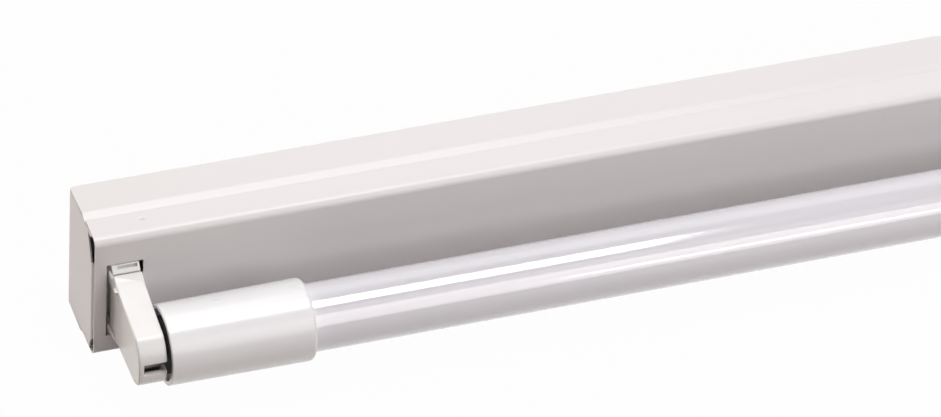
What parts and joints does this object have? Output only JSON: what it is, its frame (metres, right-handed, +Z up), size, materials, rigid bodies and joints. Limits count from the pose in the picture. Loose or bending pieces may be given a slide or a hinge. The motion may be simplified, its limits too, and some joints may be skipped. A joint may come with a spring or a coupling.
{
  "type": "channel light fixture",
  "caption": "Slim channel light: folded steel body, lift-off front cover, snap-in end lampholders and a straight milky LED tube with white end caps.",
  "frame": {"origin": "centre of the flat back face, which lies against the wall or ceiling", "axes": "+X along the fixture, -Y out from the wall to the tube, +Z up across the body"},
  "size_m": [0.6264, 0.0769, 0.0574],
  "materials": {
    "body_paint": "white powder coat, satin",
    "cover_paint": "white powder coat, satin",
    "holder_plastic": "white moulded plastic, satin",
    "rotor_plastic": "off-white moulded plastic",
    "cap_plastic": "white moulded plastic, glossy",
    "diffuser": "milky white, glossy",
    "pin_brass": "turned",
    "contact_bronze": "stamped",
    "board": "white solder mask",
    "circuit_board": "green solder mask",
    "chip": "phosphor",
    "electronics": "moulded",
    "plated_steel": "bright zinc",
    "block_plastic": "natural white",
    "rubber": "matt",
    "live_sheath": "brown insulation",
    "neutral_sheath": "blue insulation",
    "earth_sheath": "green insulation",
    "clip_plastic": "natural nylon"
  },
  "bodies": {
    "body": {"channel_body": "body_paint", "cable_grommet": "rubber", "earth_stud": "plated_steel", "earth_washer": "plated_steel", "earth_nut": "plated_steel"},
    "cover": {"front_cover": "cover_paint", "terminal_bracket": "plated_steel", "terminal_block": "block_plastic", "terminal_clamps": "pin_brass", "clamp_screws": "plated_steel", "block_screws": "plated_steel", "earth_tag": "plated_steel", "earth_screw": "plated_steel", "live_lead": "live_sheath", "neutral_lead": "neutral_sheath", "earth_lead": "earth_sheath", "lead_clips": "clip_plastic", "left_holder_housing": "holder_plastic", "left_holder_plate": "holder_plastic", "left_contacts": "contact_bronze", "right_holder_housing": "holder_plastic", "right_holder_plate": "holder_plastic", "right_contacts": "contact_bronze"},
    "tube": {"diffuser_tube": "diffuser", "led_board": "board", "led_chips": "chip", "driver_board": "circuit_board", "driver_parts": "electronics", "link_board": "circuit_board", "board_headers": "pin_brass", "left_end_cap": "cap_plastic", "left_pin_base": "cap_plastic", "left_contact_pins": "pin_brass", "right_end_cap": "cap_plastic", "right_pin_base": "cap_plastic", "right_contact_pins": "pin_brass"},
    "left_rotor": {"left_rotor": "rotor_plastic"},
    "right_rotor": {"right_rotor": "rotor_plastic"},
    "left_latch": {"left_latch": "holder_plastic"},
    "right_latch": {"right_latch": "holder_plastic"}
  },
  "joints": [
    {"name": "cover_pull", "type": "slide", "parent": "body", "child": "cover", "axis": [0, -1, 0], "range_m": [0, 0.06]},
    {"name": "tube_turn", "type": "hinge", "parent": "cover", "child": "tube", "pos_m": [0, -0.0612, -0.0037], "axis": [1, 0, 0], "range_deg": [0, 90]},
    {"name": "left_rotor_turn", "type": "hinge", "parent": "cover", "child": "left_rotor", "pos_m": [-0.3013, -0.0612, -0.0037], "axis": [1, 0, 0], "range_deg": [0, 90]},
    {"name": "right_rotor_turn", "type": "hinge", "parent": "cover", "child": "right_rotor", "pos_m": [0.3013, -0.0612, -0.0037], "axis": [1, 0, 0], "range_deg": [0, 90]},
    {"name": "left_latch_press", "type": "hinge", "parent": "cover", "child": "left_latch", "pos_m": [-0.3013, -0.0195, 0.0122], "axis": [1, 0, 0], "range_deg": [0, 4.5], "stiffness_Nm_per_rad": 0.5},
    {"name": "right_latch_press", "type": "hinge", "parent": "cover", "child": "right_latch", "pos_m": [0.3013, -0.0195, 0.0122], "axis": [1, 0, 0], "range_deg": [0, 4.5], "stiffness_Nm_per_rad": 0.5}
  ],
  "couplings": [
    {"joint": "left_rotor_turn", "follows": "tube_turn", "ratio": 1},
    {"joint": "right_rotor_turn", "follows": "tube_turn", "ratio": 1}
  ]
}
